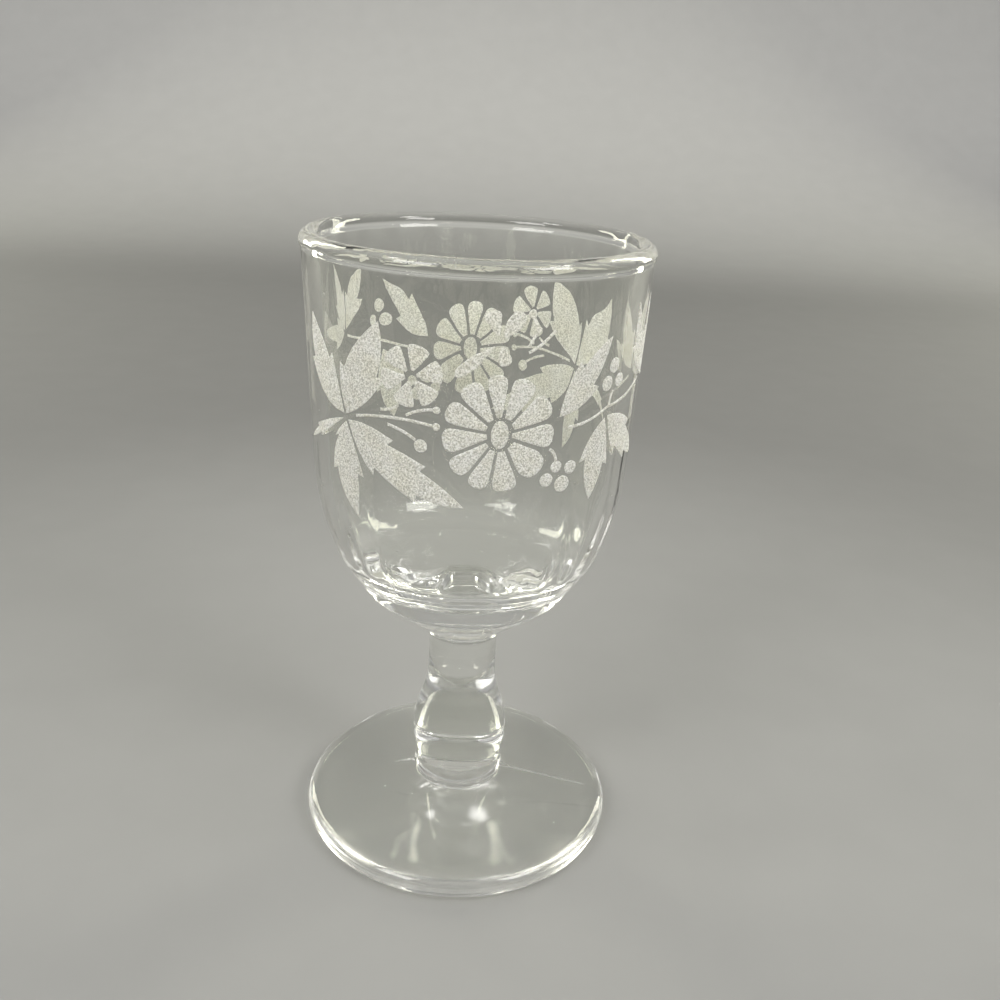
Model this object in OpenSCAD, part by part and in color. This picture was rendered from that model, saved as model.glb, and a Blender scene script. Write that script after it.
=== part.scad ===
// Small stemmed sherry glass: a pressed bowl, a knopped stem and a round foot,
// fused one on top of the other, with two frosted sprays of flowers and leaves.
// Millimetres, +Z up. The origin is the middle of the surface the foot rests on,
// and the first spray faces -Y.

/* [Foot] */
// Diameter of the foot
foot_d = 52.8; // [46:0.2:60]
// Height of the rounded edge of the foot
foot_edge_h = 4; // [3:0.1:5]
// Height of the foot in the middle, where the stem stands on it
foot_h = 7.5; // [6:0.1:9]
// Depth of the shallow hollow under the foot
foot_hollow = 0.7; // [0.3:0.1:1.5]
// Width of the flat ring that the foot rests on
rest_w = 3.4; // [2:0.1:6]

/* [Stem] */
// Height of the stem between the foot and the bowl
stem_h = 28.1; // [25:0.1:36]
// Diameter of the collar at the bottom of the stem
collar_d = 14.8; // [13.6:0.1:15.4]
// Height of the collar
collar_h = 3.4; // [2.5:0.1:4.5]
// How far the side of the collar swells out
collar_swell = 0.3; // [0.1:0.05:0.5]
// Diameter of the knop at its widest
knop_d = 16.1; // [15.6:0.1:18]
// Height of the widest part of the knop above the foot
knop_rise = 7.7; // [6.5:0.1:9]
// Radius of the knop's profile
knop_curve = 19.5; // [16:0.5:24]
// Diameter of the neck
neck_d = 11.4; // [10:0.1:12.5]
// Radius of the hollow curve between the knop and the neck
neck_curve = 16; // [10:0.5:20]
// How far the neck flares out where it meets the bowl
neck_flare = 0.35; // [0.2:0.05:0.8]
// Height of that flare
flare_h = 2.2; // [1.5:0.1:3]

/* [Bowl] */
// Height of the bowl, from the neck to the lip
bowl_h = 64.4; // [62:0.2:72]
// Outer diameter of the lip
lip_d = 51.8; // [50.6:0.2:56]
// Thickness of the rounded lip
lip_t = 3; // [2.8:0.1:3.6]
// Thickness of the wall
wall = 2.7; // [2:0.1:2.8]
// Outer diameter where the straight wall begins
shoulder_d = 48.7; // [47.6:0.1:50]
// Height of that place above the neck
shoulder_rise = 30.4; // [28:0.2:34]
// Radius of the side's curve below the straight wall
side_curve = 42; // [38:1:50]
// Height above the neck of the crease round the bottom of the side
crease_rise = 14.4; // [13:0.1:16]
// Outer diameter of the lower edge, between the crease and the neck
base_edge_d = 32.8; // [30:0.2:35]
// Height of the lower edge above the neck
base_edge_rise = 8.2; // [7:0.1:9.4]
// Height of the inside floor above the neck
floor_rise = 11.7; // [10.5:0.1:14]
// Radius of the corner between the inside floor and the side
floor_corner = 8; // [6:0.5:10]

/* [Frosted sprays] */
// Thickness of the frosting
frost_t = 0.12; // [0.08:0.01:0.2]
// Depth of the daisy's eye below the lip
spray_drop = 22.6; // [20:0.2:26]
// Turn of the first spray's daisy to the right of the front, in degrees
front_turn = 8.7; // [-30:0.1:30]
// Turn from the first spray to the second, in degrees
rear_turn = 173.5; // [172:0.5:188]
// Width of the clear line left between neighbouring patches
clear_line = 0.4; // [0.3:0.05:0.6]
// Reach of the daisy's petals from its middle; the rest of the spray grows with it
daisy_r = 7.6; // [7:0.1:7.7]
// How much farther its highest and lowest petals reach
daisy_stretch = 0.6; // [0:0.1:0.7]
// Width of a daisy petal near its end
daisy_petal_w = 3.9; // [2.8:0.1:4]
// Width of the daisy's oval eye
eye_w = 2.4; // [2:0.1:2.6]
// Height of the daisy's oval eye
eye_h = 4; // [3.4:0.1:4.2]
// Reach of a small blossom's petals from its middle
blossom_r = 4.3; // [3.6:0.1:4.4]
// Width of a small blossom's petal near its end
blossom_petal_w = 3.5; // [2.4:0.1:3.6]
// Width of a twig
twig_w = 0.4; // [0.3:0.05:0.5]
// Radius of a full berry
berry_r = 1.1; // [0.8:0.05:1.15]
// Radius of the bud at the end of a twig
bud_r = 0.55; // [0.45:0.05:0.65]

/* [Hidden] */
$fn = 96;
SPRAYS = ["front", "rear"];
MOTIFS = [
    "daisy_petals", "daisy_eye", "small_blossom",
    "broad_leaf", "hanging_leaf", "trailing_leaf", "side_leaf",
    "twigs", "buds", "berry_sprig", "berry_cluster",
];
FRONT_MOTIFS = ["upper_blossom", "upper_sprig"];
glass_colour = [0.86, 0.90, 0.86, 0.35];
frost_colour = [0.90, 0.89, 0.84];

// Steps in a long and in a short curve of a profile
long_steps = 16;
short_steps = 10;

// Heights of the three pieces
stem_z = foot_h;
bowl_z = stem_z + stem_h;
lip_z = bowl_z + bowl_h;

// Points on a circle arc, from one angle to another
function arc(centre, radius, from, to, steps) = [
    for (i = [0:steps])
        let (angle = from + (to - from) * i / steps)
            centre + radius * [cos(angle), sin(angle)]
];

// Points on a swelling side between two heights, at one radius at both ends
function swell(radius, low, high, bulge, steps) =
    let (
        half = (high - low) / 2,
        curve = (half * half + bulge * bulge) / (2 * bulge),
        open = asin(half / curve)
    )
        arc([radius + bulge - curve, low + half], curve, -open, open, steps);

// Points on a curve between two points, drawn towards a third
function bend(from, pull, to, steps) = [
    for (i = [0:steps])
        let (t = i / steps)
            (1 - t) * (1 - t) * from + 2 * t * (1 - t) * pull + t * t * to
];

function turned(points, angle) = [
    for (p = points) [p.x * cos(angle) - p.y * sin(angle), p.x * sin(angle) + p.y * cos(angle)]
];
function moved(points, by) = [for (p = points) p + by];
function backwards(points) = [for (i = [len(points) - 1:-1:0]) points[i]];
function flipped(points) = [for (p = backwards(points)) [p.x, -p.y]];
function past_first(points) = [for (i = [1:len(points) - 1]) points[i]];

// Foot: a low cone with a round edge, hollowed a little underneath
edge_r = foot_edge_h / 2;
edge_centre = [foot_d / 2 - edge_r, edge_r];
seat_r = collar_d / 2 - collar_swell;
seat_from_edge = [seat_r, foot_h] - edge_centre;
edge_top_angle = atan2(seat_from_edge.y, seat_from_edge.x) - acos(edge_r / norm(seat_from_edge));
hollow_r = edge_centre.x - rest_w;
hollow_curve = (hollow_r * hollow_r + foot_hollow * foot_hollow) / (2 * foot_hollow);
hollow_open = asin(hollow_r / hollow_curve);

module foot() {
    color(glass_colour)
        rotate_extrude()
            polygon(concat(
                arc([0, foot_hollow - hollow_curve], hollow_curve, 90, 90 - hollow_open, short_steps),
                arc(edge_centre, edge_r, -90, edge_top_angle, long_steps),
                [[seat_r, foot_h], [0, foot_h]]
            ));
}

// Stem: collar, knop and neck in one profile
neck_r = neck_d / 2;
knop_centre = [knop_d / 2 - knop_curve, stem_z + knop_rise];
knop_low_z = stem_z + collar_h;
knop_low_angle = asin((knop_low_z - knop_centre.y) / knop_curve);
// The hollow curve touches the knop's circle from outside and the neck's side
neck_curve_x = neck_r + neck_curve;
neck_curve_lift = sqrt(pow(knop_curve + neck_curve, 2) - pow(neck_curve_x - knop_centre.x, 2));
neck_centre = [neck_curve_x, knop_centre.y + neck_curve_lift];
knop_top_angle = atan2(neck_curve_lift, neck_curve_x - knop_centre.x);
// The flare is an arc that leaves the neck straight up
flare_curve = (neck_flare * neck_flare + flare_h * flare_h) / (2 * neck_flare);
flare_open = asin(flare_h / flare_curve);
flare_centre = [neck_r + flare_curve, bowl_z - flare_h];
joint_r = neck_r + neck_flare;

module stem() {
    color(glass_colour)
        rotate_extrude()
            polygon(concat(
                [[0, stem_z]],
                swell(seat_r, stem_z, knop_low_z, collar_swell, short_steps),
                arc(knop_centre, knop_curve, knop_low_angle, knop_top_angle, long_steps),
                past_first(arc(neck_centre, neck_curve, 180 + knop_top_angle, 180, short_steps)),
                arc(flare_centre, flare_curve, 180, 180 - flare_open, short_steps),
                [[0, bowl_z]]
            ));
}

// Bowl: cone, crease, curved side and drafted wall outside, flat floor inside
lip_r = lip_t / 2;
wall_top_r = lip_d / 2 - (lip_t - wall);
lip_centre = [lip_d / 2 - lip_r, lip_z - lip_r];
lip_angle = acos((wall_top_r - lip_centre.x) / lip_r);
wall_top_z = lip_centre.y - lip_r * sin(lip_angle);
shoulder = [shoulder_d / 2, bowl_z + shoulder_rise];
draft = atan2(wall_top_r - shoulder.x, wall_top_z - shoulder.y);
side_centre = shoulder + side_curve * [-cos(draft), sin(draft)];
crease_angle = asin((bowl_z + crease_rise - side_centre.y) / side_curve);
// The floor's corner touches the floor and, from inside, the side's inner curve
inner_curve = side_curve - wall;
corner_z = bowl_z + floor_rise + floor_corner;
corner_drop = side_centre.y - corner_z;
corner_x = side_centre.x + sqrt(pow(inner_curve - floor_corner, 2) - corner_drop * corner_drop);
corner_angle = atan2(-corner_drop, corner_x - side_centre.x);

// The outside from the crease to just under the lip, moved out by a distance
function outside(by) = concat(
    arc(side_centre, side_curve + by, crease_angle, -draft, long_steps),
    [[wall_top_r, wall_top_z] + by * [cos(draft), -sin(draft)]]
);

module bowl() {
    color(glass_colour)
        rotate_extrude()
            polygon(concat(
                [[0, bowl_z], [joint_r, bowl_z], [base_edge_d / 2, bowl_z + base_edge_rise]],
                outside(0),
                past_first(arc(lip_centre, lip_r, -lip_angle, 180, long_steps)),
                arc(side_centre, inner_curve, -draft, corner_angle, long_steps),
                past_first(arc([corner_x, corner_z], floor_corner, corner_angle, -90, short_steps)),
                [[0, bowl_z + floor_rise]]
            ));
}

// Frosting: a thin skin on the outside of the bowl, kept only where a motif is.
// Motifs are drawn flat, in millimetres along the wall and up it from the daisy's eye,
// for a daisy that reaches 7.6 mm.
spray_scale = daisy_r / 7.6;
spray_z = lip_z - spray_drop;
wall_r = shoulder.x + (spray_z - shoulder.y) * tan(draft);
outline_steps = 9;

function along_wall(distance) = distance / wall_r * 180 / PI;

module frost_skin() {
    rotate_extrude()
        polygon(concat(outside(0), backwards(outside(frost_t))));
}

// A prism that cuts one flat outline out of the skin, square to the wall
module patch(outline) {
    across = [for (p = outline) p.x];
    middle = (min(across) + max(across)) / 2;
    rotate([0, 0, along_wall(middle)])
        rotate([90, 0, 0])
            linear_extrude(height = lip_d)
                polygon([for (p = outline) [wall_r * sin(along_wall(p.x - middle)), spray_z + p.y]]);
}

module frosted() {
    color(frost_colour)
        intersection() {
            frost_skin();
            union()
                children();
        }
}

module disc(centre, radius) {
    rotate([0, 0, along_wall(spray_scale * centre.x)])
        translate([0, 0, spray_z + spray_scale * centre.y])
            rotate([90, 0, 0])
                cylinder(r = radius, h = lip_d);
}

// Outline of one petal, between two turns: it fills its share of the flower as far as its width allows,
// less half a clear line on each side, and has a round outer end
petal_round = 10;
function petal_side(inner, outer, width, share) = [
    for (i = [0:outline_steps])
        let (
            t = sin(90 * i / outline_steps),
            reach = inner + (outer - inner) * t,
            half = min(width / 2, reach * sin(share / 2) - clear_line / 2)
        )
            [reach, half * sqrt(1 - pow(t, petal_round))]
];
function petal(inner, outer, width, from, to) =
    let (side = petal_side(inner, outer, width, to - from))
        turned(concat(side, past_first(flipped(side))), (from + to) / 2);

// Outline of one leaf lobe. Each side is a list of barbs, from the hub to the tip.
// A barb is its distance along the lobe, its distance out, and how full the edge before it is,
// from 0 for a straight edge to 1 for a round one. A notch follows each barb.
hub_gap = 0.6;
notch_depth = 1.1;
notch_back = 0.35;
edge_steps = 5;
function full_edge(from, to, fullness) =
    let (pull = (from + to) / 2 + fullness / 2 * [(from.x - to.x) / 2, to.y - from.y])
        bend(from, pull, to, edge_steps);
function barbs(from, side, i = 0) =
    i == len(side)
        ? []
        : let (
            tip = [side[i][0], side[i][1]],
            notch = tip - [notch_back, min(notch_depth, tip.y / 2)]
        )
            concat(full_edge(from, tip, side[i][2]), barbs(notch, side, i + 1));
function lobe_side(length, side) =
    let (
        last = side[len(side) - 1],
        notch = [last[0] - notch_back, last[1] - min(notch_depth, last[1] / 2)]
    )
        concat(
            barbs([hub_gap, 0], side),
            bend(notch, [(notch.x + length) / 2, notch.y], [length, 0], edge_steps)
        );
function lobe(length, angle, left, right) =
    let (
        left_side = lobe_side(length, left),
        right_side = lobe_side(length, right)
    )
        turned(concat(left_side, past_first(flipped(past_first(right_side)))), angle);

// Outline of a twig along a bent line, of even width
function twig(from, pull, to) =
    let (
        line = spray_scale * bend(from, pull, to, outline_steps),
        ways = [
            for (i = [0:outline_steps])
                let (t = i / outline_steps, way = (1 - t) * (pull - from) + t * (to - pull))
                    way / norm(way)
        ],
        out = [for (way = ways) twig_w / 2 * [-way.y, way.x]]
    )
        concat(line + out, backwards(line - out));

// Turns of the clear lines between the daisy's petals, uneven as drawn by hand
petal_lines = [-21, 14, 50, 82, 108, 139, 171, 206, 235, 262, 294, 339];
petal_start = eye_w / 2 + clear_line;
eye_steps = 24;

module daisy_petals() {
    frosted()
        for (i = [1:len(petal_lines) - 1]) {
            upright = sin((petal_lines[i - 1] + petal_lines[i]) / 2);
            patch(petal(
                petal_start + (eye_h - eye_w) / 2 * abs(upright),
                daisy_r + daisy_stretch * abs(upright),
                daisy_petal_w,
                petal_lines[i - 1],
                petal_lines[i]
            ));
        }
}

module daisy_eye() {
    frosted()
        patch([
            for (i = [0:eye_steps - 1])
                let (turn = 360 / eye_steps * i)
                    [eye_w / 2 * cos(turn), eye_h / 2 * sin(turn)]
        ]);
}

blossom_share = 360 / 6;

module blossom(centre, first_line) {
    frosted()
        for (line = [first_line:blossom_share:first_line + 359])
            patch(moved(
                petal(clear_line * 2, blossom_r, blossom_petal_w, line, line + blossom_share),
                spray_scale * centre
            ));
}

module small_blossom() {
    blossom([-11.9, 7.2], -16);
}

// Half-open blossom: each petal is its first and last clear line, its reach and its width
module upper_blossom() {
    frosted()
        for (p = [[24, 84, 4.7, 2.1], [84, 132, 4.1, 2.6], [206, 235, 7.3, 1.6], [256, 316, 3.3, 1.9]])
            patch(moved(
                petal(clear_line * 2, spray_scale * p[2], spray_scale * p[3], p[0], p[1]),
                spray_scale * [-0.6, 12.5]
            ));
}

// Two bent stalks beside the upper blossom, the left one with a bud on a side shoot
module upper_sprig() {
    frosted() {
        patch(twig([3.1, 11.9], [3.6, 13], [4.6, 14.3]));
        patch(twig([4.2, 13.8], [3.9, 14.8], [3.5, 15.7]));
        patch(twig([3.1, 11.1], [4.9, 11.9], [6.6, 13.9]));
        disc([3.3, 16.1], bud_r * 1.1);
    }
}

// A leaf is a set of lobes round a hub: each is its length, its turn and its left and right barbs
module leaf(hub, lobes) {
    frosted()
        for (l = lobes)
            patch(spray_scale * moved(lobe(l[0], l[1], l[2], l[3]), hub));
}

module broad_leaf() {
    leaf([-22.8, -0.5], [
        [15.3, 122, [[10.2, 4.2, 1]], [[8.5, 2.3, 0]]],
        [15.6, 66, [[6.7, 3.9, 0.4]], [[8.9, 3.7, 0.6]]],
        [13.2, 208, [[8.5, 0.8, 0.2]], [[9, 1.1, 0.5]]],
        [14.6, 277, [[8.4, 2.1, 0.2]], [[3, 3, 0.2], [8, 4.4, 0.6]]],
        [20.9, 331, [[8, 2.6, 0.7], [13.6, 2.3, 0.4]], [[7.9, 4, 0.4], [14.9, 3.2, 0.4]]],
    ]);
}

module hanging_leaf() {
    leaf([16.9, 1.2], [
        [12.6, 263, [[7.6, 2.7, 0.2]], [[6.8, 3.6, 0.6]]],
        [16, 325, [[8, 2.4, 0.7]], [[6.5, 3.6, 0.3], [11.2, 2.6, 0.4]]],
    ]);
}

module trailing_leaf() {
    leaf([27.8, 4.8], [
        [12, 113, [[6.5, 3, 0.8]], [[6.3, 1.9, 0.1]]],
        [12.4, 66, [[6.4, 2.8, 0.4]], [[7, 3, 0.6]]],
        [11, 12, [[5.8, 2.2, 0.6]], [[6.2, 2.6, 0.6]]],
    ]);
}

module side_leaf() {
    leaf([7.9, 1.6], [[13.7, 51, [[8, 2.6, 0.5]], [[7.3, 2.8, 0.7]]]]);
}

module twigs() {
    frosted() {
        patch(twig([-20.7, 0.2], [-14.5, 1.8], [-8.9, 0.8]));
        patch(twig([-12.6, 1.8], [-10.9, 2.9], [-8.9, 3]));
        patch(twig([-15.3, 0.1], [-12.9, -0.3], [-11.2, -1.5]));
        patch(twig([-16.4, 2], [-14.8, 2.1], [-13.7, 3]));
        patch(twig([9.8, 0.4], [13.5, 0.5], [17.2, 2.2]));
        patch(twig([17.2, 2.2], [21, 2.3], [27, 4.4]));
        patch(twig([17.4, 2.2], [17.5, 3.4], [18, 4.4]));
        patch(twig([7.2, -2.4], [8.2, -3], [8.4, -4.3]));
    }
}

module buds() {
    frosted() {
        disc([-8.4, 0.7], bud_r);
        disc([-8.4, 3], bud_r);
        disc([-10.5, -2.2], berry_r * 0.85);
    }
}

module berry_sprig() {
    frosted() {
        disc([16.5, 5.6], berry_r);
        disc([17.7, 8], berry_r);
        disc([19.3, 5.7], berry_r * 0.9);
    }
}

module berry_cluster() {
    frosted() {
        disc([8.5, -5.1], berry_r * 0.8);
        disc([10.9, -5.5], berry_r * 0.9);
        disc([7.1, -6.9], berry_r * 0.9);
        disc([9.7, -7.8], berry_r * 1.1);
    }
}

module at_front() {
    rotate([0, 0, front_turn])
        children();
}

module at_rear() {
    rotate([0, 0, front_turn + rear_turn])
        children();
}

foot();
stem();
bowl();
at_front() daisy_petals();  // front_daisy_petals
at_front() daisy_eye();  // front_daisy_eye
at_front() small_blossom();  // front_small_blossom
at_front() broad_leaf();  // front_broad_leaf
at_front() hanging_leaf();  // front_hanging_leaf
at_front() trailing_leaf();  // front_trailing_leaf
at_front() side_leaf();  // front_side_leaf
at_front() twigs();  // front_twigs
at_front() buds();  // front_buds
at_front() berry_sprig();  // front_berry_sprig
at_front() berry_cluster();  // front_berry_cluster
at_rear() daisy_petals();  // rear_daisy_petals
at_rear() daisy_eye();  // rear_daisy_eye
at_rear() small_blossom();  // rear_small_blossom
at_rear() broad_leaf();  // rear_broad_leaf
at_rear() hanging_leaf();  // rear_hanging_leaf
at_rear() trailing_leaf();  // rear_trailing_leaf
at_rear() side_leaf();  // rear_side_leaf
at_rear() twigs();  // rear_twigs
at_rear() buds();  // rear_buds
at_rear() berry_sprig();  // rear_berry_sprig
at_rear() berry_cluster();  // rear_berry_cluster
at_front() upper_blossom();  // front_upper_blossom
at_front() upper_sprig();  // front_upper_sprig
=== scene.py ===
"""Looks of a small sherry glass with frosted sprays. Metres, +Z up, the front of the glass is -Y."""

import math

import bpy
import numpy as np
from mathutils import Matrix, Vector
from mathutils.geometry import delaunay_2d_cdt
from mathutils.kdtree import KDTree


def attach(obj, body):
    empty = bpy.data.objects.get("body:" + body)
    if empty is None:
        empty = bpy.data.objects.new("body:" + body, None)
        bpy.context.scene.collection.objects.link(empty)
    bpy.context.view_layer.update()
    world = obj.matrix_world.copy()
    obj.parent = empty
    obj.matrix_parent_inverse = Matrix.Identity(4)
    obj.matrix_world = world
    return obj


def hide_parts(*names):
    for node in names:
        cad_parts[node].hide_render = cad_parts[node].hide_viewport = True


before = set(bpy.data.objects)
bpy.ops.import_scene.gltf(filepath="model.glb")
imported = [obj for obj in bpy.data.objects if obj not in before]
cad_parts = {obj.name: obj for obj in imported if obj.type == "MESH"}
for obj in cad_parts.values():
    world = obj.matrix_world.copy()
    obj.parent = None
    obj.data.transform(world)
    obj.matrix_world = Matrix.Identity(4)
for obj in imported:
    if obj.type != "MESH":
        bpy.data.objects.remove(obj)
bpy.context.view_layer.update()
scene = bpy.context.scene
degrees = math.degrees
MM = 0.001
TURN = 2 * np.pi

# Sizes of the glass, in millimetres
FOOT_R = 26.4  # radius of the foot
FOOT_EDGE = 4.0  # thickness of its rounded edge
FOOT_H = 7.5  # its height at the collar
HOLLOW = 0.7  # depth of the hollow under it
REST_W = 3.4  # width of the ring that it rests on
STEM_H = 28.1  # height of the stem
COLLAR_R = 7.4  # radius of the collar at the stem's foot
COLLAR_H = 3.4  # its height
COLLAR_SWELL = 0.3  # how far it bulges
KNOP_R = 8.05  # radius of the knop
KNOP_RISE = 7.7  # height of its widest place over the foot
KNOP_CURVE = 19.5  # radius of its profile
NECK_R = 5.7  # radius of the neck
NECK_CURVE = 16.0  # radius of its profile
NECK_FLARE = 0.35  # how far it widens under the bowl
FLARE_H = 2.2  # height over which it widens
BOWL_H = 64.4  # height of the bowl
LIP_R = 25.9  # radius of the lip
LIP_T = 3.0  # thickness of the lip
WALL = 2.7  # thickness of the wall
SHOULDER_R = 24.35  # radius where the drafted wall begins to curve in
SHOULDER_RISE = 30.4  # height of that place over the bowl's underside
SIDE_CURVE = 42.0  # radius of the curve below it
CREASE_R = 20.4  # about the radius of the crease under the curve
CREASE_RISE = 14.4  # its height over the bowl's underside
BASE_EDGE_R = 16.4  # radius of the edge between the base's two slopes
BASE_EDGE_RISE = 8.2  # its height over the bowl's underside
FLOOR_RISE = 11.7  # height of the inner floor over the bowl's underside
FLOOR_CORNER = 8.0  # radius of the corner round the inner floor
FROST = 0.12  # thickness of the frost
BOWL_Z = FOOT_H + STEM_H
LIP_Z = BOWL_Z + BOWL_H

# Spacing of points on the section, in millimetres
ARC_STEP = 0.15
SECTION_STEP = 0.05
FLOOR_ROWS = 0.3  # greatest distance between rows on the inner floor
FLOOR_BAND = 1.2  # height over the floor at which those rows begin

# How softly fire has melted the section, away from its corners and at each: radius, height, softness
PLAIN_MELT = 0.12
MELT_SPREAD, LEAST_SPREAD = 2.2, 0.4  # how far it spreads from a corner, by its softness and at least
MELT = [
    (FOOT_R - FOOT_EDGE / 2 - REST_W, 0.0, 0.35),
    (COLLAR_R - COLLAR_SWELL, FOOT_H, 0.5),
    (COLLAR_R - COLLAR_SWELL / 3, FOOT_H + COLLAR_H, 0.22),
    (NECK_R + NECK_FLARE, BOWL_Z, 0.95),
    (BASE_EDGE_R, BOWL_Z + BASE_EDGE_RISE, 0.5),
    (CREASE_R, BOWL_Z + CREASE_RISE, 0.24),
]


# Section of the glass
def arc(x, z, radius, start, end):
    """Points on an arc round a centre, with its angles in degrees."""
    steps = max(4, int(abs(math.radians(end - start)) * radius / ARC_STEP))
    turns = np.radians(np.linspace(start, end, steps + 1))
    return np.stack([x + radius * np.cos(turns), z + radius * np.sin(turns)], 1)


def dome_radius(half_width, height):
    """Radius of the arc that rises a height over a half width."""
    return (half_width**2 + height**2) / (2 * height)


def foot_arcs():
    """The hollow under the foot, and its edge up to the straight slope to the collar."""
    edge = FOOT_EDGE / 2
    edge_x = FOOT_R - edge
    slope_x, slope_z = COLLAR_R - COLLAR_SWELL - edge_x, FOOT_H - edge
    to_collar = degrees(math.atan2(slope_z, slope_x))
    slope_start = to_collar - degrees(math.acos(edge / math.hypot(slope_x, slope_z)))
    hollow_r = edge_x - REST_W
    dome = dome_radius(hollow_r, HOLLOW)
    return [
        arc(0, HOLLOW - dome, dome, 90, 90 - degrees(math.asin(hollow_r / dome))),
        arc(edge_x, edge, edge, -90, slope_start),
    ]


def stem_arcs():
    """The collar, the knop, the neck and its flare under the bowl."""
    half = COLLAR_H / 2
    collar = dome_radius(half, COLLAR_SWELL)
    collar_end = degrees(math.asin(half / collar))
    knop_x, knop_z = KNOP_R - KNOP_CURVE, FOOT_H + KNOP_RISE
    knop_start = degrees(math.asin((COLLAR_H - KNOP_RISE) / KNOP_CURVE))
    neck_x = NECK_R + NECK_CURVE
    lift = math.sqrt((KNOP_CURVE + NECK_CURVE) ** 2 - (neck_x - knop_x) ** 2)
    knop_end = degrees(math.atan2(lift, neck_x - knop_x))
    flare = dome_radius(FLARE_H, NECK_FLARE)
    return [
        arc(COLLAR_R - collar, FOOT_H + half, collar, -collar_end, collar_end),
        arc(knop_x, knop_z, KNOP_CURVE, knop_start, knop_end),
        arc(neck_x, knop_z + lift, NECK_CURVE, 180 + knop_end, 180),
        arc(NECK_R + flare, BOWL_Z - FLARE_H, flare, 180, 180 - degrees(math.asin(FLARE_H / flare))),
    ]


def bowl_arcs():
    """The bowl's base and side, over the lip and down the inside to the middle of the floor."""
    lip = LIP_T / 2
    wall_top = LIP_R - (LIP_T - WALL)
    lip_start = degrees(math.acos((wall_top - LIP_R + lip) / lip))
    wall_top_z = LIP_Z - lip - lip * math.sin(math.radians(lip_start))
    draft = math.atan2(wall_top - SHOULDER_R, wall_top_z - BOWL_Z - SHOULDER_RISE)
    side_x = SHOULDER_R - SIDE_CURVE * math.cos(draft)
    side_z = BOWL_Z + SHOULDER_RISE + SIDE_CURVE * math.sin(draft)
    crease = degrees(math.asin((BOWL_Z + CREASE_RISE - side_z) / SIDE_CURVE))
    inner = SIDE_CURVE - WALL
    corner_z = BOWL_Z + FLOOR_RISE + FLOOR_CORNER
    drop = side_z - corner_z
    corner_x = side_x + math.sqrt((inner - FLOOR_CORNER) ** 2 - drop * drop)
    corner_start = degrees(math.atan2(-drop, corner_x - side_x))
    return [
        np.array([[BASE_EDGE_R, BOWL_Z + BASE_EDGE_RISE]]),
        arc(side_x, side_z, SIDE_CURVE, crease, -degrees(draft)),
        arc(LIP_R - lip, LIP_Z - lip, lip, -lip_start, 180),
        arc(side_x, side_z, inner, -degrees(draft), corner_start),
        arc(corner_x, corner_z, FLOOR_CORNER, corner_start, -90),
        np.array([[0.0, BOWL_Z + FLOOR_RISE]]),
    ]


def lengths(points):
    """Distances between the points of a line."""
    return np.hypot(*np.diff(points, axis=0).T)


def resample(points, step):
    """The same line with points an even distance apart."""
    points = points[np.r_[True, lengths(points) > 1e-6]]
    far = np.r_[0, np.cumsum(lengths(points))]
    even = np.linspace(0, far[-1], max(2, int(round(far[-1] / step)) + 1))
    return np.stack([np.interp(even, far, points[:, 0]), np.interp(even, far, points[:, 1])], 1)


def smoothed(line, step, soft):
    """A line of even points, each drawn towards its neighbours within its softness. The ends stay."""
    soft = np.broadcast_to(soft, len(line))
    out = line.copy()
    for i in range(1, len(line) - 1):
        reach = min(int(3 * soft[i] / step), i, len(line) - 1 - i)
        near = np.arange(-reach, reach + 1)
        weights = np.exp(-((near * step) ** 2) / (2 * soft[i] ** 2))
        out[i] = (line[i - reach : i + reach + 1] * weights[:, None]).sum(0) / weights.sum()
    return out


def melted(points):
    """Rounds the section's corners as fire does."""
    line = resample(points, SECTION_STEP)
    soft = np.full(len(line), PLAIN_MELT)
    for r, z, corner in MELT:
        away = (line[:, 0] - r) ** 2 + (line[:, 1] - z) ** 2
        spread = MELT_SPREAD * corner + LEAST_SPREAD
        soft = np.maximum(soft, corner * np.exp(-away / (2 * spread**2)))
    line = smoothed(line, SECTION_STEP, soft)
    line[0, 0] = line[-1, 0] = 0.0
    return line


def thinned(line, turn=0.05, reach=1.1):
    """Leaves out points where the line is nearly straight."""
    way = np.diff(line, axis=0)
    bearing = np.unwrap(np.arctan2(way[:, 1], way[:, 0]))
    keep, bent, far = [0], 0.0, 0.0
    for i in range(1, len(line) - 1):
        bent += abs(bearing[i] - bearing[i - 1])
        far += np.hypot(*way[i - 1])
        if bent > turn or far > reach:
            keep.append(i)
            bent = far = 0.0
    keep.append(len(line) - 1)
    return line[keep]


def cut(line, z):
    """The index and the point at which a line first rises through a height."""
    for i in range(1, len(line)):
        if line[i - 1, 1] < z <= line[i, 1]:
            share = (z - line[i - 1, 1]) / (line[i, 1] - line[i - 1, 1])
            return i, line[i - 1] + share * (line[i] - line[i - 1])


section = melted(np.concatenate(foot_arcs() + stem_arcs() + bowl_arcs()))
foot_end, seat = cut(section, FOOT_H)
stem_end, neck = cut(section, BOWL_Z)
lip_row = int(np.argmax(section[:, 1]))
floor_start = lip_row + int(np.argmax(section[lip_row:, 1] < BOWL_Z + FLOOR_RISE + FLOOR_BAND))
foot_side = thinned(np.vstack([section[:foot_end], seat]))
stem_side = thinned(np.vstack([seat, section[foot_end:stem_end], neck]))
bowl_side = thinned(np.vstack([neck, section[stem_end:floor_start]]))
inner_floor = thinned(section[floor_start:], reach=FLOOR_ROWS)
foot_line = np.vstack([foot_side, (0.0, FOOT_H)])
stem_line = np.vstack([(0.0, FOOT_H), stem_side, (0.0, BOWL_Z)])
bowl_line = np.vstack([(0.0, BOWL_Z), bowl_side, inner_floor])
outer_side = section[stem_end : lip_row + 1]
section_way = np.gradient(section, axis=0)
section_out = np.stack([section_way[:, 1], -section_way[:, 0]], 1) / np.hypot(*section_way.T)[:, None]


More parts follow.
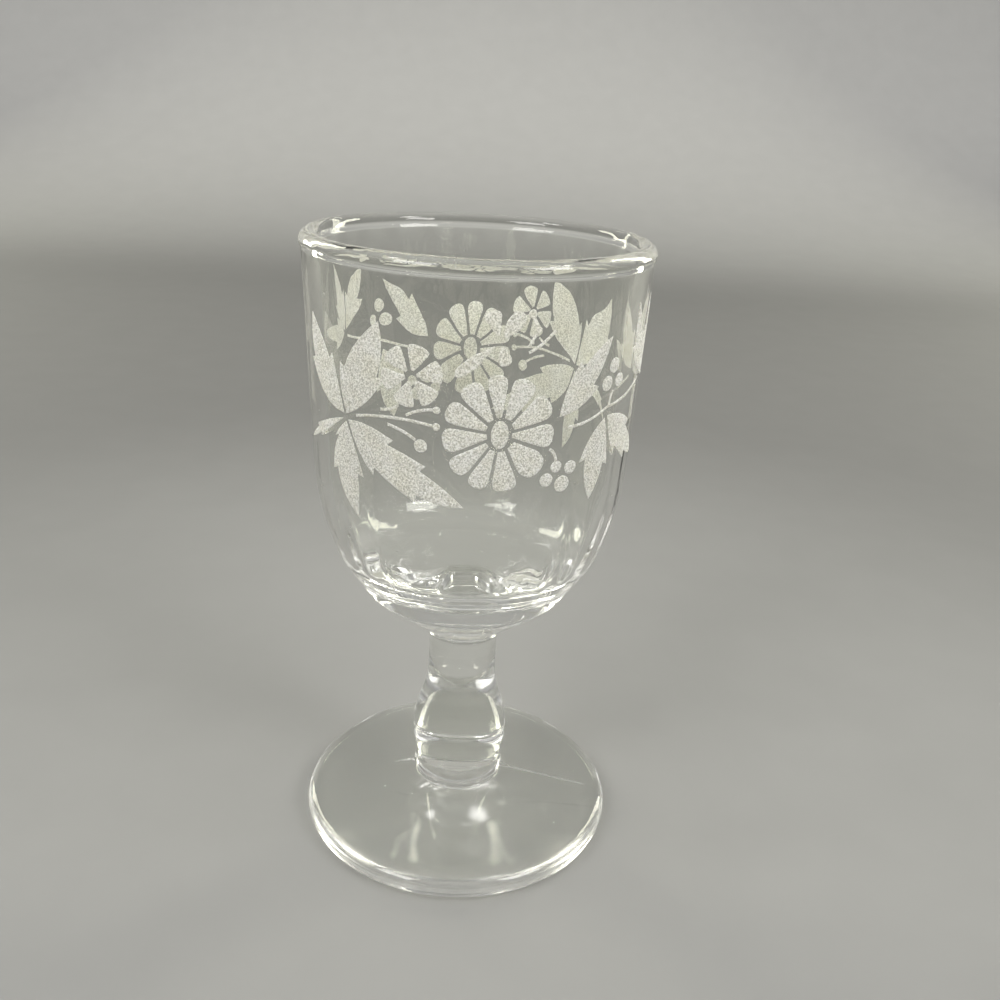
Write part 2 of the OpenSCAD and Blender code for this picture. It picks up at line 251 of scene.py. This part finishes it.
def outward(point):
    """The way out of the glass at a point of the section."""
    return section_out[np.argmin(((section - point) ** 2).sum(1))]


def wall_radius(z):
    """Radius of the bowl's outside at a height."""
    return np.interp(z, outer_side[:, 1], outer_side[:, 0])


# Unevenness of pressed glass
SEED = 11
chance = np.random.default_rng(SEED)


def waves(low, high, size, drift):
    """From low to high waves round the axis, of a size in millimetres in all, that drift with height."""
    counts = np.arange(low, high + 1)
    many = len(counts)
    heights = size * chance.uniform(0.5, 1.0, many) / np.sqrt(many)
    return counts, heights, chance.uniform(0, TURN, many), chance.uniform(-drift, drift, many)


def swing(wave, angle, height):
    """The sum of the waves in a direction and at a height."""
    counts, heights, phases, drifts = wave
    turns = np.multiply.outer(angle, counts) + phases + np.multiply.outer(height, drifts)
    return (heights * np.cos(turns)).sum(-1)


# Waves of each surface
WALL_SLOW = waves(2, 6, 0.05, 0.05)
WALL_FINE = waves(9, 34, 0.05, 0.04)
INNER_SLOW = waves(2, 6, 0.05, 0.05)
INNER_FINE = waves(8, 26, 0.05, 0.04)
STEM_SLOW = waves(2, 6, 0.045, 0.3)
FOOT_SLOW = waves(2, 7, 0.07, 0.3)
FOOT_FINE = waves(5, 18, 0.03, 0.8)
LIP_FINE = waves(16, 42, 0.028, 0.0)
BASE_FINE = waves(11, 38, 0.04, 0.06)
MARK_PATH = waves(2, 11, 0.5, 0.0)
MARK_SIZE = waves(2, 9, 0.9, 0.0)

# Heights round which the outside, the inside and the base are most uneven, and how far that spreads
OUTER_WAVY = (58.0, 9.0)
INNER_WAVY = (54.0, 8.0)
BASE_WAVY = (40.5, 2.6)

# Share of the fine waves that is left away from those heights
OUTER_REST, INNER_REST = 0.35, 0.3

# Heights or radii at which each unevenness starts and is full
OUTER_STARTS = (BOWL_Z + 1, BOWL_Z + 7)
BASE_STARTS = (BOWL_Z + 0.3, BOWL_Z + 1.8)
INNER_STARTS = (0, 10)
LIP_BLENDS = (LIP_Z - 7, LIP_Z - 1)
LIP_RIPPLES = (LIP_Z - 4, LIP_Z - 2)
STEM_STARTS = (FOOT_H, FOOT_H + 3)
STEM_ENDS = (BOWL_Z, BOWL_Z - 4)
FOOT_TOP = (1.6, 3.1)
FOOT_STARTS = (COLLAR_R, COLLAR_R + 3)

# The mark of the plunger's edge: its radius, width, mean height, change in height, and a height above it
MARK_R, MARK_W, MARK_H, MARK_CHANGE, MARK_TOP = 12.2, 0.32, 0.1, 0.12, 60.0
MARK_LEAST, MARK_MOST = -0.7, 1.0  # limits of that change, as a share of it

# Direction of each mould seam, and the radius of the foot at which it fades
SEAMS = [(math.radians(87.0), 25.0), (math.radians(267.0), 13.0)]
SEAM_W = 0.22  # half its width
SEAM_H, COLLAR_SEAM_H, FOOT_SEAM_H = 0.03, 0.06, 0.13  # on the stem, more on the collar, and on the foot
COLLAR_SEAM = (FOOT_H + 4, FOOT_H)  # heights at which it starts to swell and is highest
SEAM_ENDS = (BOWL_Z - 6, BOWL_Z - 14)  # heights on the neck at which it is lost and is full
SEAM_FADE = 3.0  # distance over which it fades on the foot
FLASH_H, FLASH_SPAN = 0.5, 1.4  # height and spread of the flash

ROUND_STEPS = 360  # even directions round the axis
SEAM_POINTS = (0.005, 0.011, 0.018, 0.026, 0.036)  # closer ones on either side of a seam, in radians
SEAM_GAP = 0.045  # room for these among the even ones, in radians


def ease(x, start, end):
    """0 at the start and 1 at the end, with a soft change between."""
    x = np.clip((x - start) / (end - start), 0, 1)
    return x * x * (3 - 2 * x)


def hump(x, middle, span):
    """1 in the middle, falling off to either side."""
    return np.exp(-(((x - middle) / span) ** 2))


def half_turn(angle):
    """The same direction, between minus and plus half a turn."""
    return (angle + np.pi) % TURN - np.pi


def outer_swing(angle, z):
    """How far the outside of the bowl stands off its section."""
    fine = swing(WALL_FINE, angle, z) * (OUTER_REST + hump(z, *OUTER_WAVY))
    wall = (swing(WALL_SLOW, angle, z) + fine) * ease(z, *OUTER_STARTS)
    base = swing(BASE_FINE, angle, z) * hump(z, *BASE_WAVY)
    return wall + base * ease(z, *BASE_STARTS)


def inner_swing(angle, z, r):
    """How far the inside stands off its section, with the plunger's uneven mark round the floor."""
    fine = swing(INNER_FINE, angle, z) * (INNER_REST + hump(z, *INNER_WAVY))
    wall = (swing(INNER_SLOW, angle, z) + fine) * ease(r, *INNER_STARTS)
    size = MARK_H + MARK_CHANGE * np.clip(swing(MARK_SIZE, angle, z), MARK_LEAST, MARK_MOST)
    return wall + size * hump(r, MARK_R + swing(MARK_PATH, angle, z), MARK_W) * (z < MARK_TOP)


def lip_swing(angle, z):
    """Both sides of the wall come to the same place over the lip, which is rippled where it was melted."""
    both = (outer_swing(angle, z) + inner_swing(angle, z, LIP_R)) / 2
    return both + swing(LIP_FINE, angle, z) * ease(z, *LIP_RIPPLES)


def seam(angle, r, z, height):
    """The ridge where the halves of the mould met, with the flash squeezed out between foot and collar.

    height gives the ridge's height from the radius at which the seam fades.
    """
    flash = FLASH_H * hump(np.hypot(r - seat[0], z - FOOT_H), 0.0, FLASH_SPAN)
    ridge = 0.0
    for direction, reach in SEAMS:
        ridge = ridge + (flash + height(reach)) * hump(half_turn(angle - direction) * r, 0.0, SEAM_W)
    return ridge


def stem_swing(angle, z, r):
    """How far the stem stands off its section."""
    off = swing(STEM_SLOW, angle, z) * ease(z, *STEM_STARTS) * ease(z, *STEM_ENDS)
    line = (SEAM_H + COLLAR_SEAM_H * ease(z, *COLLAR_SEAM)) * ease(z, *SEAM_ENDS)
    return off + seam(angle, r, z, lambda reach: line)


def foot_swing(angle, z, r):
    """How far the top of the foot stands off its section. Its underside stays flat."""
    up = ease(z, *FOOT_TOP)
    off = (swing(FOOT_SLOW, angle, r) + swing(FOOT_FINE, angle, r)) * up * ease(r, *FOOT_STARTS)
    return off + seam(angle, r, z, lambda reach: FOOT_SEAM_H * ease(r, reach, reach - SEAM_FADE)) * up


def directions():
    """Directions round the axis, closer together at the seams."""
    angles = np.linspace(0, TURN, ROUND_STEPS, endpoint=False)
    beside = np.array(SEAM_POINTS)
    for direction, _ in SEAMS:
        angles = angles[np.abs(half_turn(angles - direction)) > SEAM_GAP]
        angles = np.r_[angles, direction, direction + beside, direction - beside]
    return np.sort(angles % TURN)


ROUND = directions()
BOWL_LIP_ROW = int(np.argmax(bowl_line[:, 1]))


def bowl_swing(row, z, r):
    """How far a row of the bowl's section stands off it. The fused joint stays true."""
    if row <= 1:
        return 0.0
    side = outer_swing(ROUND, z) if row <= BOWL_LIP_ROW else inner_swing(ROUND, z, r)
    share = ease(z, *LIP_BLENDS)
    return side * (1 - share) + lip_swing(ROUND, z) * share


# Meshes
def new_piece(name, verts, faces, smooth):
    """An object from points in millimetres, with a smooth or flat look for each face."""
    mesh = bpy.data.meshes.new(name)
    mesh.from_pydata([tuple(MM * c for c in v) for v in verts], [], faces)
    mesh.polygons.foreach_set("use_smooth", smooth)
    mesh.update()
    piece = bpy.data.objects.new(name, mesh)
    scene.collection.objects.link(piece)
    return piece


def ring_faces(a, b):
    """Faces between two rings of points, either of which may be a single point on the axis."""
    faces = []
    for j in range(len(ROUND)):
        k = (j + 1) % len(ROUND)
        if len(a) == 1:
            faces.append((a[0], b[k], b[j]))
        elif len(b) == 1:
            faces.append((a[j], a[k], b[0]))
        else:
            faces.append((a[j], a[k], b[k], b[j]))
    return faces


def turned_piece(name, line, offsets, caps):
    """A closed turned mesh of glass. Each row of the line is moved out by its offsets round the axis.

    caps are the rows whose faces are fused joints.
    """
    verts, rings = [], []
    for (r, z), offset in zip(line, offsets):
        start = len(verts)
        if r < 1e-6:
            verts.append((0, 0, z))
        else:
            offset = np.broadcast_to(offset, ROUND.shape)
            out_r, out_z = outward((r, z))
            far = r + out_r * offset
            verts += list(zip(far * np.sin(ROUND), -far * np.cos(ROUND), z + out_z * offset))
        rings.append(range(start, len(verts)))
    faces, kinds = [], []
    for i in range(len(rings) - 1):
        faces += ring_faces(rings[i], rings[i + 1])
        kinds += [int(i in caps)] * len(ROUND)
    piece = new_piece(name, verts, faces, [kind == 0 for kind in kinds])
    piece.data.materials.append(GLASS)
    piece.data.materials.append(JOINT)
    piece.data.polygons.foreach_set("material_index", kinds)
    piece.data.update()
    return piece


# Materials
def new_material(name):
    """A material with an empty node tree."""
    material = bpy.data.materials.new(name)
    material.use_nodes = True
    material.node_tree.nodes.clear()
    return material, material.node_tree


def node(tree, kind, **values):
    """A node with its settings. A name that begins with in_ sets that input."""
    made = tree.nodes.new(kind)
    for key, value in values.items():
        if key.startswith("in_"):
            made.inputs[key[3:].replace("_", " ")].default_value = value
        else:
            setattr(made, key, value)
    return made


def ramp(tree, source, low, high, start, end, curve="LINEAR"):
    """Goes from low to high as the source goes from start to end."""
    made = node(tree, "ShaderNodeMapRange", interpolation_type=curve)
    made.inputs["From Min"].default_value, made.inputs["From Max"].default_value = start, end
    made.inputs["To Min"].default_value, made.inputs["To Max"].default_value = low, high
    tree.links.new(source, made.inputs["Value"])
    return made.outputs["Result"]


def joined(tree, operation, a, b):
    """Two values put together by a math node."""
    made = node(tree, "ShaderNodeMath", operation=operation)
    tree.links.new(a, made.inputs[0])
    tree.links.new(b, made.inputs[1])
    return made.outputs["Value"]


def texture(tree, place, kind, **values):
    """A texture over the object's own coordinates."""
    made = node(tree, kind, **values)
    tree.links.new(place.outputs["Object"], made.inputs["Vector"])
    return made


def glass_roughness(tree, place):
    """Thin haze and specks of dust, and a foot that is worn hazy by years of wiping and standing."""
    haze = texture(tree, place, "ShaderNodeTexNoise", in_Scale=95.0, in_Detail=5.0, in_Roughness=0.6)
    dust = texture(tree, place, "ShaderNodeTexVoronoi", in_Scale=420.0)
    pick = node(tree, "ShaderNodeSeparateColor")
    tree.links.new(dust.outputs["Color"], pick.inputs["Color"])
    spot = ramp(tree, dust.outputs["Distance"], 0.45, 0.0, 0.03, 0.08)
    chosen = ramp(tree, pick.outputs["Red"], 0.0, 1.0, 0.7, 0.8)
    thin = ramp(tree, haze.outputs["Fac"], 0.0, 0.05, 0.5, 0.78)
    clean = joined(tree, "MAXIMUM", thin, joined(tree, "MULTIPLY", spot, chosen))
    height = node(tree, "ShaderNodeSeparateXYZ")
    tree.links.new(place.outputs["Object"], height.inputs["Vector"])
    on_foot = ramp(tree, height.outputs["Z"], 1.0, 0.0, 0.0066, 0.0078)
    wear = ramp(tree, haze.outputs["Fac"], 0.05, 0.15, 0.35, 0.7)
    return joined(tree, "MAXIMUM", clean, joined(tree, "MULTIPLY", on_foot, wear))


def clear_glass():
    """Slightly hazy, faintly rippled clear glass."""
    material, tree = new_material("clear_glass")
    link = tree.links.new
    out = node(tree, "ShaderNodeOutputMaterial")
    glass = node(tree, "ShaderNodeBsdfPrincipled", in_Transmission_Weight=1.0, in_IOR=1.52)
    glass.inputs["Base Color"].default_value = (0.984, 0.99, 0.97, 1)
    place = node(tree, "ShaderNodeTexCoord")
    link(glass_roughness(tree, place), glass.inputs["Roughness"])
    ripple = texture(tree, place, "ShaderNodeTexNoise", in_Scale=210.0, in_Detail=2.0)
    bump = node(tree, "ShaderNodeBump", in_Strength=0.25, in_Distance=0.00004)
    link(ripple.outputs["Fac"], bump.inputs["Height"])
    link(bump.outputs["Normal"], glass.inputs["Normal"])
    # Lamps reach what is behind the glass, as they do through real clear glass
    light = node(tree, "ShaderNodeLightPath")
    through = node(tree, "ShaderNodeBsdfTransparent")
    through.inputs["Color"].default_value = (0.45, 0.455, 0.445, 1)
    either = node(tree, "ShaderNodeMixShader")
    link(light.outputs["Is Shadow Ray"], either.inputs["Fac"])
    link(glass.outputs["BSDF"], either.inputs[1])
    link(through.outputs["BSDF"], either.inputs[2])
    link(either.outputs["Shader"], out.inputs["Surface"])
    return material


def fused_joint():
    """Nothing is seen where two pieces of glass are melted together."""
    material, tree = new_material("fused_joint")
    out = node(tree, "ShaderNodeOutputMaterial")
    clear = node(tree, "ShaderNodeBsdfTransparent")
    tree.links.new(clear.outputs["BSDF"], out.inputs["Surface"])
    return material


def frosting():
    """White grains, cloudy and a little warm, through which some light passes."""
    material, tree = new_material("frosting")
    link = tree.links.new
    out = node(tree, "ShaderNodeOutputMaterial")
    frost = node(tree, "ShaderNodeBsdfPrincipled", in_Subsurface_Weight=1.0, in_Subsurface_Scale=0.00025)
    frost.inputs["Subsurface Radius"].default_value = (1.0, 1.0, 0.95)
    place = node(tree, "ShaderNodeTexCoord")
    grain = texture(tree, place, "ShaderNodeTexNoise", in_Scale=4300.0, in_Detail=1.5, in_Roughness=0.6)
    cloud = texture(tree, place, "ShaderNodeTexNoise", in_Scale=260.0, in_Detail=3.0)
    fine = texture(tree, place, "ShaderNodeTexNoise", in_Scale=7000.0, in_Detail=2.0)
    tone = node(tree, "ShaderNodeMix", data_type="RGBA")
    tone.inputs["A"].default_value = (0.53, 0.525, 0.48, 1)
    tone.inputs["B"].default_value = (0.96, 0.955, 0.905, 1)
    link(ramp(tree, grain.outputs["Fac"], 0.0, 1.0, 0.38, 0.60), tone.inputs["Factor"])
    warm = node(tree, "ShaderNodeMix", data_type="RGBA", blend_type="MULTIPLY")
    warm.inputs["B"].default_value = (0.96, 0.95, 0.91, 1)
    link(ramp(tree, cloud.outputs["Fac"], 0.0, 1.0, 0.35, 0.7), warm.inputs["Factor"])
    link(tone.outputs["Result"], warm.inputs["A"])
    link(warm.outputs["Result"], frost.inputs["Base Color"])
    link(ramp(tree, grain.outputs["Fac"], 0.75, 0.4, 0.35, 0.65), frost.inputs["Roughness"])
    bump = node(tree, "ShaderNodeBump", in_Strength=0.6, in_Distance=0.00004)
    link(fine.outputs["Fac"], bump.inputs["Height"])
    link(bump.outputs["Normal"], frost.inputs["Normal"])
    link(frost.outputs["BSDF"], out.inputs["Surface"])
    return material


def backdrop_paper():
    """Matte paper, pale round the glass as a painted pool of light, painted greyer away from it where that
    light falls off, and pale again where it rises behind.
    """
    material, tree = new_material("paper")
    link = tree.links.new
    out = node(tree, "ShaderNodeOutputMaterial")
    matte = node(tree, "ShaderNodeBsdfPrincipled", in_Roughness=0.85)
    place = node(tree, "ShaderNodeTexCoord")
    away = node(tree, "ShaderNodeVectorMath", operation="LENGTH")
    link(place.outputs["Object"], away.inputs[0])
    # Painted pool of light: the paper's colour is paler near the glass and painted darker away from it, as
    # lamp light falls off
    floor = node(tree, "ShaderNodeMix", data_type="RGBA")
    floor.inputs["A"].default_value = (0.295, 0.295, 0.288, 1)
    floor.inputs["B"].default_value = (0.175, 0.175, 0.171, 1)
    link(ramp(tree, away.outputs["Value"], 0.0, 1.0, 0.06, 0.26, "SMOOTHSTEP"), floor.inputs["Factor"])
    split = node(tree, "ShaderNodeSeparateXYZ")
    link(place.outputs["Object"], split.inputs["Vector"])
    rise = node(tree, "ShaderNodeMix", data_type="RGBA")
    rise.inputs["B"].default_value = (0.56, 0.558, 0.548, 1)
    link(ramp(tree, split.outputs["Y"], 0.0, 1.0, 0.48, 0.92, "SMOOTHSTEP"), rise.inputs["Factor"])
    link(floor.outputs["Result"], rise.inputs["A"])
    fibre = texture(tree, place, "ShaderNodeTexNoise", in_Scale=60.0, in_Detail=4.0)
    tint = node(tree, "ShaderNodeMix", data_type="RGBA", blend_type="MULTIPLY")
    tint.inputs["B"].default_value = (0.92, 0.92, 0.92, 1)
    link(fibre.outputs["Fac"], tint.inputs["Factor"])
    link(rise.outputs["Result"], tint.inputs["A"])
    link(tint.outputs["Result"], matte.inputs["Base Color"])
    link(matte.outputs["BSDF"], out.inputs["Surface"])
    return material


GLASS, JOINT, FROSTED = clear_glass(), fused_joint(), frosting()

# The glass
bowl_offsets = [bowl_swing(row, z, r) for row, (r, z) in enumerate(bowl_line)]
stem_offsets = [stem_swing(ROUND, z, r) for r, z in stem_line]
foot_offsets = [foot_swing(ROUND, z, r) for r, z in foot_line]
glass_pieces = {
    "bowl": turned_piece("glass_bowl", bowl_line, bowl_offsets, {0}),
    "stem": turned_piece("glass_stem", stem_line, stem_offsets, {0, len(stem_line) - 2}),
    "foot": turned_piece("glass_foot", foot_line, foot_offsets, {len(foot_line) - 2}),
}
for name, piece in glass_pieces.items():
    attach(piece, "root")
    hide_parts(name)

# The frosting, in millimetres
EDGE_STEP = 0.1  # distance between points of an outline
EDGE_SOFT = 0.22  # softness of the curves between corners
ROUND_SOFT = 0.2  # softness of an outline without corners
ROUND_REACH = 8  # points on either side that count for it
CORNER = math.radians(48)  # a sharper turn than this is a corner
RAGGED = 0.022  # unevenness of the edge
CALM_STEPS = 7  # points from a corner at which the edge is fully ragged
GRAIN, BACK_GRAIN = 0.17, 0.9  # distance between points on the outside and on the back
EDGE_GAP, BACK_GAP = 0.09, 0.4  # least distance of those points from the edge
JITTER = 0.3  # how far they stray, as a share of their distance
ROW_GAP = 0.866  # distance between their rows, as a share of their distance
EDGE_H, GRAIN_LOW, SUNK = 0.035, 0.03, 0.03  # heights of the edge and the lowest grains, depth of the back


def welded(mesh):
    """The points of a mesh in millimetres, each once, and its triangles."""
    places = np.empty(len(mesh.vertices) * 3)
    mesh.vertices.foreach_get("co", places)
    spots, index = np.unique(np.round(places.reshape(-1, 3) / MM, 3), axis=0, return_inverse=True)
    mesh.calc_loop_triangles()
    triangles = np.empty(len(mesh.loop_triangles) * 3, int)
    mesh.loop_triangles.foreach_get("vertices", triangles)
    triangles = index.ravel()[triangles].reshape(-1, 3)
    a, b, c = triangles.T
    return spots, triangles[(a != b) & (b != c) & (c != a)]


def border_loops(triangles):
    """The closed lines of points round a set of triangles."""
    ways = {}
    for a, b, c in triangles:
        for p, q in ((a, b), (b, c), (c, a)):
            if (q, p) in ways:
                del ways[(q, p)]
            else:
                ways[(p, q)] = True
    after = dict(ways.keys())
    loops = []
    while after:
        start, here = after.popitem()
        loop = [start]
        while here != start:
            loop.append(here)
            here = after.pop(here)
        loops.append(loop)
    return loops


def outline_loops(cad):
    """The outlines of a frosted node's outer faces, as distance along the wall and height.

    Gives also the direction that they are measured from, and the radius of the wall there.
    """
    spots, triangles = welded(cad.data)
    radius = wall_radius(spots[:, 2])
    middle = math.atan2(spots[:, 0].mean(), -spots[:, 1].mean())
    angle = half_turn(np.arctan2(spots[:, 0], -spots[:, 1]) - middle)
    outer = np.hypot(spots[:, 0], spots[:, 1]) - radius > FROST / 2
    scale = radius.mean()
    flat = np.stack([angle * scale, spots[:, 2]], 1)
    loops = border_loops(triangles[outer[triangles].all(1)])
    return [flat[loop] for loop in loops], middle, scale


def round_outline(loop):
    """An outline without corners, smoothed all round."""
    line = resample(np.vstack([loop, loop[:1]]), EDGE_STEP)[:-1]
    near = np.arange(-ROUND_REACH, ROUND_REACH + 1)
    weights = np.exp(-((near * EDGE_STEP) ** 2) / (2 * ROUND_SOFT**2))
    return sum(np.roll(line, step, 0) * weight for step, weight in zip(near, weights / weights.sum()))


def cornered_outline(loop, corners):
    """An outline with soft curves between its corners, and for each point 0 at a corner to 1 far off."""
    loop = np.roll(loop, -corners[0], 0)
    ends = list((corners - corners[0]) % len(loop)) + [len(loop)]
    loop = np.vstack([loop, loop[:1]])
    stretches, away = [], []
    for a, b in zip(ends, ends[1:]):
        part = smoothed(resample(loop[a : b + 1], EDGE_STEP), EDGE_STEP, EDGE_SOFT)
        stretches.append(part[:-1])
        step = np.arange(len(part) - 1)
        away.append(np.minimum(step, len(part) - 1 - step) / CALM_STEPS)
    return np.vstack(stretches), np.clip(np.concatenate(away), 0, 1)


def hand_cut(loop):
    """The outline with soft curves and a slightly ragged edge, which is smooth at its tips."""
    back, ahead = loop - np.roll(loop, 1, 0), np.roll(loop, -1, 0) - loop
    turn = np.abs(np.arctan2(back[:, 0] * ahead[:, 1] - back[:, 1] * ahead[:, 0], (back * ahead).sum(1)))
    corners = np.where(turn > CORNER)[0]
    if len(corners):
        line, away = cornered_outline(loop, corners)
    else:
        line, away = round_outline(loop), 1.0
    along = np.roll(line, -1, 0) - np.roll(line, 1, 0)
    side = np.stack([along[:, 1], -along[:, 0]], 1) / np.maximum(np.hypot(*along.T), 1e-6)[:, None]
    rough = chance.normal(0, 1, len(line))
    rough = 0.5 * rough + 0.25 * (np.roll(rough, 1) + np.roll(rough, -1))
    return line + side * (RAGGED * away * rough)[:, None]


def inside(points, loop):
    """Which points lie inside a closed outline."""
    x, y = points[:, 0], points[:, 1]
    hit = np.zeros(len(points), bool)
    for (ax, ay), (bx, by) in zip(loop, np.roll(loop, -1, 0)):
        if ay == by:
            continue
        over = (ay > y) != (by > y)
        hit ^= over & (x < (bx - ax) * (y - ay) / (by - ay) + ax)
    return hit


def clear_of(points, loop, gap):
    """The points that lie further than a gap from the points of an outline."""
    near = KDTree(len(loop))
    for i, (x, y) in enumerate(loop):
        near.insert((x, y, 0), i)
    near.balance()
    return np.array([p for p in points if near.find((p[0], p[1], 0))[2] > gap]).reshape(-1, 2)


def filled(loop, step, gap):
    """Triangles that fill an outline, with points about a step apart and a gap from its edge.

    Gives the points, the triangles, and for each point the places in the outline that it stands for.
    """
    low, high = loop.min(0), loop.max(0)
    rows = []
    for i, y in enumerate(np.arange(low[1], high[1], step * ROW_GAP)):
        x = np.arange(low[0] + (i % 2) * step / 2, high[0], step)
        rows.append(np.stack([x, np.full(len(x), y)], 1))
    grid = np.concatenate(rows)
    grid = grid + chance.uniform(-JITTER, JITTER, grid.shape) * step
    grid = clear_of(grid[inside(grid, loop)], loop, gap)
    points = [Vector(p) for p in np.concatenate([loop, grid])]
    verts, _, faces, origin, _, _ = delaunay_2d_cdt(points, [], [list(range(len(loop)))], 1, 1e-6)
    return np.array([tuple(v) for v in verts]), faces, origin


def rim_of(origin, count):
    """The filled outline's point for each place in the outline."""
    rim = {}
    for i, sources in enumerate(origin):
        for source in sources:
            if source < count:
                rim[source] = i
    return [rim[i] for i in range(count)]


def on_wall(flat, middle, scale, off):
    """Points of the unrolled wall, put back round the glass at a distance from its surface."""
    angle = flat[:, 0] / scale + middle
    z = flat[:, 1]
    r = wall_radius(z) + outer_swing(angle % TURN, z) + off
    return np.stack([r * np.sin(angle), -r * np.cos(angle), z], 1)


def edge_faces(loop, top, bottom):
    """Faces between the outer and the back rim of an outline."""
    area = (loop[:, 0] * np.roll(loop[:, 1], -1) - loop[:, 1] * np.roll(loop[:, 0], -1)).sum()
    faces = []
    for i in range(len(loop)):
        j = (i + 1) % len(loop)
        face = (top[j], top[i], bottom[i], bottom[j])
        faces.append(face if area > 0 else face[::-1])
    return faces


def frost_piece(name, cad):
    """A closed skin of frost with a grainy outside, in the outlines of a node's outer faces."""
    loops, middle, scale = outline_loops(cad)
    verts, faces = [], []
    for outline in loops:
        loop = hand_cut(outline)
        rims = []
        for outer, step, gap in ((True, GRAIN, EDGE_GAP), (False, BACK_GRAIN, BACK_GAP)):
            flat, triangles, origin = filled(loop, step, gap)
            rim = rim_of(origin, len(loop))
            off = np.full(len(flat), -SUNK)
            if outer:
                off = chance.uniform(GRAIN_LOW, FROST, len(flat))
                off[rim] = EDGE_H
            start = len(verts)
            verts += list(on_wall(flat, middle, scale, off))
            faces += [tuple(start + i for i in (face if outer else face[::-1])) for face in triangles]
            rims.append([start + i for i in rim])
        faces += edge_faces(loop, *rims)
    piece = new_piece(name, verts, faces, [False] * len(faces))
    piece.data.materials.append(FROSTED)
    return piece


for name, cad in sorted(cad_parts.items()):
    if name in glass_pieces:
        continue
    piece = frost_piece("frost_" + name, cad)
    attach(piece, "root")
    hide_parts(name)

# Floor and backdrop, in millimetres: one sheet of paper that lies flat, bends up and stands
PAPER_GAP = 0.03  # keeps the paper clear of the foot
BEND_Y, BEND_R = 600, 400  # where the paper starts to bend, and the radius of the bend
SHEET_TOP = 1800
SHEET_X = [-1800, -600, -200, 0, 200, 600, 1800]


def paper_sheet():
    """The sheet of paper, from its side line and its places across."""
    side = [(-1400, 0), (-300, 0), (0, 0), (300, 0), (BEND_Y, 0)]
    for turn in np.radians(np.arange(6, 91, 6)):
        side.append((BEND_Y + BEND_R * math.sin(turn), BEND_R - BEND_R * math.cos(turn)))
    side += [(BEND_Y + BEND_R, 1000), (BEND_Y + BEND_R, SHEET_TOP)]
    wide = len(SHEET_X)
    verts = [(x, y, z - PAPER_GAP) for y, z in side for x in SHEET_X]
    corners = [row * wide + place for row in range(len(side) - 1) for place in range(wide - 1)]
    faces = [(corner, corner + 1, corner + wide + 1, corner + wide) for corner in corners]
    sheet = new_piece("backdrop", verts, faces, [True] * len(faces))
    sheet.data.materials.append(backdrop_paper())
    return sheet


backdrop = paper_sheet()

# Light
scene.view_settings.view_transform = "Standard"
# Light runs round inside thick glass many times before it leaves
scene.cycles.max_bounces, scene.cycles.glossy_bounces = 32, 24
scene.cycles.transmission_bounces, scene.cycles.transparent_max_bounces = 32, 24
SOFT_WHITE, CREAM = (1.0, 0.985, 0.96), (1.0, 0.985, 0.83)
AIM = Vector((0, 0, 0.06))


def studio_world():
    """A soft sky that is dim at the horizon and bright overhead."""
    world = bpy.data.worlds.new("studio")
    world.use_nodes = True
    tree = world.node_tree
    tree.nodes.clear()
    link = tree.links.new
    out = node(tree, "ShaderNodeOutputWorld")
    sky = node(tree, "ShaderNodeBackground")
    place = node(tree, "ShaderNodeTexCoord")
    split = node(tree, "ShaderNodeSeparateXYZ")
    link(place.outputs["Generated"], split.inputs["Vector"])
    shade = node(tree, "ShaderNodeMix", data_type="RGBA")
    shade.inputs["A"].default_value = (0.11, 0.11, 0.11, 1)
    shade.inputs["B"].default_value = (0.62, 0.62, 0.61, 1)
    link(ramp(tree, split.outputs["Z"], 0.0, 1.0, 0.0, 0.8), shade.inputs["Factor"])
    link(shade.outputs["Result"], sky.inputs["Color"])
    link(sky.outputs["Background"], out.inputs["Surface"])
    return world


def lamp(name, spot, width, height, watts, colour):
    """A soft box that is turned to the glass."""
    data = bpy.data.lights.new(name, "AREA")
    data.shape, data.size, data.size_y = "RECTANGLE", width, height
    data.energy, data.color = watts, colour
    box = bpy.data.objects.new(name, data)
    box.location = spot
    box.rotation_mode = "QUATERNION"
    box.rotation_quaternion = (AIM - Vector(spot)).to_track_quat("-Z", "Y")
    scene.collection.objects.link(box)


scene.world = studio_world()
lamp("key", (-0.58, -0.62, 0.74), 0.44, 0.44, 5.0, SOFT_WHITE)
lamp("second", (0.66, -0.52, 0.70), 0.4, 0.4, 4.6, SOFT_WHITE)
lamp("ceiling_left", (-0.56, -0.14, 0.85), 0.15, 0.15, 0.9, SOFT_WHITE)
lamp("ceiling_right", (0.56, -0.14, 0.85), 0.15, 0.15, 0.9, SOFT_WHITE)
lamp("left", (-0.58, 0.50, 0.36), 0.16, 0.6, 2.6, CREAM)
lamp("right", (0.58, 0.48, 0.36), 0.16, 0.6, 2.8, CREAM)

# Camera, at the photograph's viewing angle
PITCH, YAW, ROLL = math.radians(22.05), math.radians(1.92), math.radians(3.07)
EYE = Vector((0, -0.1506, 0.11934))
LENS, SENSOR, NEAREST = 36.45, 36.0, 0.005


def photo_camera():
    """A camera that looks down at the glass, slightly rolled."""
    ahead = Vector((math.sin(YAW) * math.cos(PITCH), math.cos(YAW) * math.cos(PITCH), -math.sin(PITCH)))
    level = Vector((math.cos(YAW), -math.sin(YAW), 0))
    rise = level.cross(ahead)
    right = math.cos(ROLL) * level + math.sin(ROLL) * rise
    up = -math.sin(ROLL) * level + math.cos(ROLL) * rise
    data = bpy.data.cameras.new("camera")
    data.sensor_width, data.lens, data.clip_start = SENSOR, LENS, NEAREST
    camera = bpy.data.objects.new("camera", data)
    scene.collection.objects.link(camera)
    view = Matrix((right, up, -ahead)).transposed().to_4x4()
    view.translation = EYE
    camera.matrix_world = view
    return camera


scene.camera = photo_camera()
